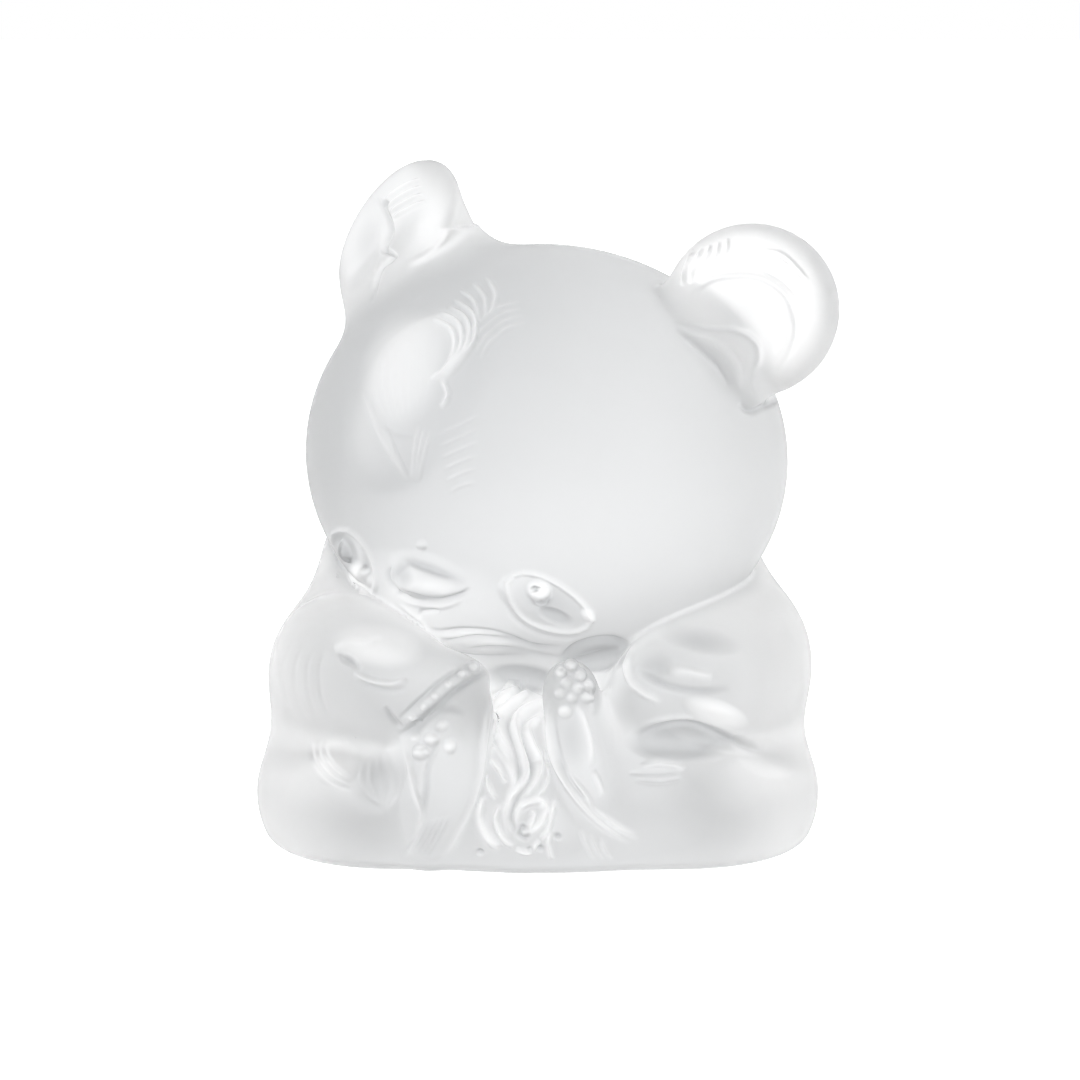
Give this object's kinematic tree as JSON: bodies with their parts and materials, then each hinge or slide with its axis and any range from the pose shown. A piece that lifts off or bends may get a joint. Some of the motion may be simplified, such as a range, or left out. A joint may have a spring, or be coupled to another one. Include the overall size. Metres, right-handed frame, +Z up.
{
  "type": "crystal glass figurine",
  "caption": "Solid crystal glass figurine of a seated bear cub, satin finish, head bowed and turned over its hind feet, resting on a flat base.",
  "frame": {"origin": "centre of the flat base the figurine rests on", "axes": "+Z up out of the base, -Y the way the cub's belly and feet face, +X towards the cub's own left"},
  "size_m": [0.0716, 0.0601, 0.0853],
  "materials": {
    "satin_crystal": "satin, finely frosted clear crystal",
    "polished_crystal": "polished clear crystal"
  },
  "bodies": {
    "root": {"right_eyeball": "polished_crystal", "left_eyeball": "polished_crystal", "right_eye_patch": "satin_crystal", "left_eye_patch": "satin_crystal", "nose_pad": "satin_crystal", "forehead_tuft": "polished_crystal", "head": "satin_crystal", "muzzle": "satin_crystal", "lower_jaw": "satin_crystal", "right_ear": "satin_crystal", "left_ear": "satin_crystal", "right_paw_claws": "polished_crystal", "right_paw": "satin_crystal", "left_paw": "satin_crystal", "right_toe_pads": "satin_crystal", "left_toe_pads": "satin_crystal", "right_sole_pad": "satin_crystal", "left_sole_pad": "satin_crystal", "right_foot": "satin_crystal", "left_foot": "satin_crystal", "right_forearm": "satin_crystal", "left_forearm": "satin_crystal", "left_shin": "satin_crystal", "right_leg": "satin_crystal", "left_leg": "satin_crystal", "right_upper_arm": "satin_crystal", "left_upper_arm": "satin_crystal", "belly_fur": "satin_crystal", "seat": "satin_crystal", "back": "satin_crystal", "nape": "satin_crystal"}
  },
  "joints": []
}
